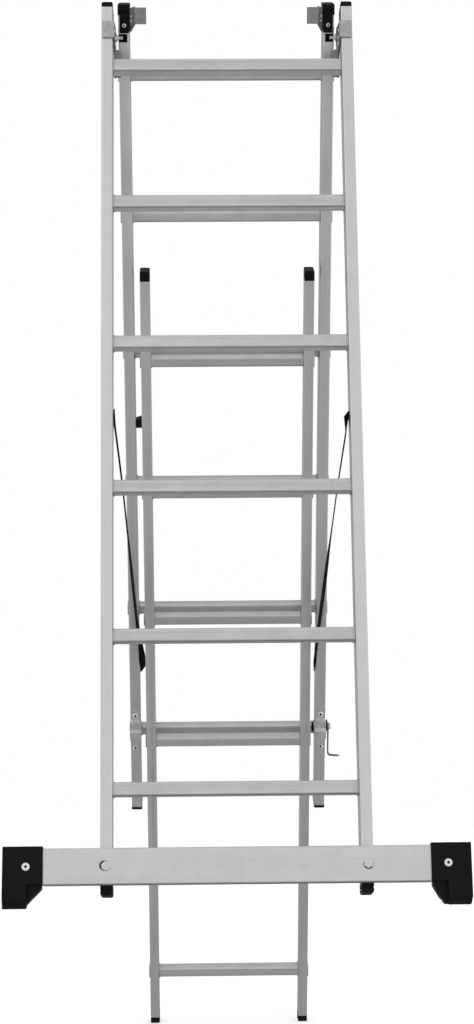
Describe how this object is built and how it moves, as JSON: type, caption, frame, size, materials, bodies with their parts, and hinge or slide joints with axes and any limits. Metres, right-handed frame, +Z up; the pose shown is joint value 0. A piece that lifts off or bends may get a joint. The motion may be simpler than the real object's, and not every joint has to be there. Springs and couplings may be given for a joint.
{
  "type": "combination ladder",
  "caption": "Three-section aluminium combination ladder set up as a stepladder across stairs, with a stabiliser bar, hinge brackets, straps and a sliding rear section.",
  "frame": {"origin": "on the ground plane, under the middle of the ladder's bounding box", "axes": "+Z up, +X to the climber's right, the front section is climbed from -Y, rungs run along X"},
  "size_m": [0.824, 1.1925, 2.1415],
  "materials": {
    "aluminium": "mill finish extrusion, satin",
    "galvanised_steel": "galvanised pressing, dull and slightly spangled",
    "zinc_plate": "bright zinc plate",
    "black_plastic": "moulded, fine texture",
    "black_webbing": "woven webbing"
  },
  "bodies": {
    "front_section": {"front_foot_left": "black_plastic", "front_foot_right": "black_plastic", "front_rail_left": "aluminium", "front_rail_right": "aluminium", "front_rung_1": "aluminium", "front_rung_2": "aluminium", "front_rung_3": "aluminium", "front_rung_4": "aluminium", "front_rung_5": "aluminium", "front_rung_6": "aluminium", "front_top_cap_left": "black_plastic", "front_top_cap_right": "black_plastic", "hinge_bracket_left": "galvanised_steel", "hinge_bracket_right": "galvanised_steel", "hinge_pin_left": "zinc_plate", "hinge_pin_right": "zinc_plate", "stabiliser_bar": "aluminium", "stabiliser_bolt_left": "zinc_plate", "stabiliser_bolt_right": "zinc_plate", "stabiliser_foot_left": "black_plastic", "stabiliser_foot_right": "black_plastic", "stabiliser_foot_screw_left": "zinc_plate", "stabiliser_foot_screw_right": "zinc_plate", "strap_left": "black_webbing", "strap_right": "black_webbing"},
    "middle_section": {"cap_screw_left": "zinc_plate", "cap_screw_right": "zinc_plate", "guide_block": "black_plastic", "guide_bracket_left": "galvanised_steel", "guide_bracket_right": "galvanised_steel", "hinge_liner_left": "black_plastic", "hinge_liner_right": "black_plastic", "latch_bolt": "zinc_plate", "lower_bracket_left": "galvanised_steel", "lower_bracket_right": "galvanised_steel", "middle_foot_left": "black_plastic", "middle_foot_right": "black_plastic", "middle_rail_left": "aluminium", "middle_rail_right": "aluminium", "middle_rung_1": "aluminium", "middle_rung_2": "aluminium", "middle_rung_3": "aluminium", "middle_rung_4": "aluminium", "middle_rung_5": "aluminium", "middle_rung_6": "aluminium", "middle_top_cap_left": "black_plastic", "middle_top_cap_right": "black_plastic"},
    "lower_section": {"lower_foot_left": "black_plastic", "lower_foot_right": "black_plastic", "lower_rail_left": "aluminium", "lower_rail_right": "aluminium", "lower_rung_1": "aluminium", "lower_rung_2": "aluminium", "lower_rung_3": "aluminium", "lower_rung_4": "aluminium", "lower_rung_5": "aluminium", "lower_rung_6": "aluminium", "lower_top_cap_left": "black_plastic", "lower_top_cap_right": "black_plastic"},
    "latch_lever": {"latch_lever": "galvanised_steel"}
  },
  "joints": [
    {"name": "leg_hinge", "type": "hinge", "parent": "front_section", "child": "middle_section", "pos_m": [0, -0.09976, 2.06518], "axis": [1, 0, 0], "range_deg": [-31.2, 0], "deforming": ["strap_left", "strap_right"]},
    {"name": "section_slide", "type": "slide", "parent": "middle_section", "child": "lower_section", "axis": [0, -0.319, 0.9478], "range_m": [-0.28, 1.4]},
    {"name": "latch_pivot", "type": "hinge", "parent": "middle_section", "child": "latch_lever", "pos_m": [0, 0.36814, 0.67796], "axis": [1, 0, 0], "range_deg": [0, 90]}
  ]
}
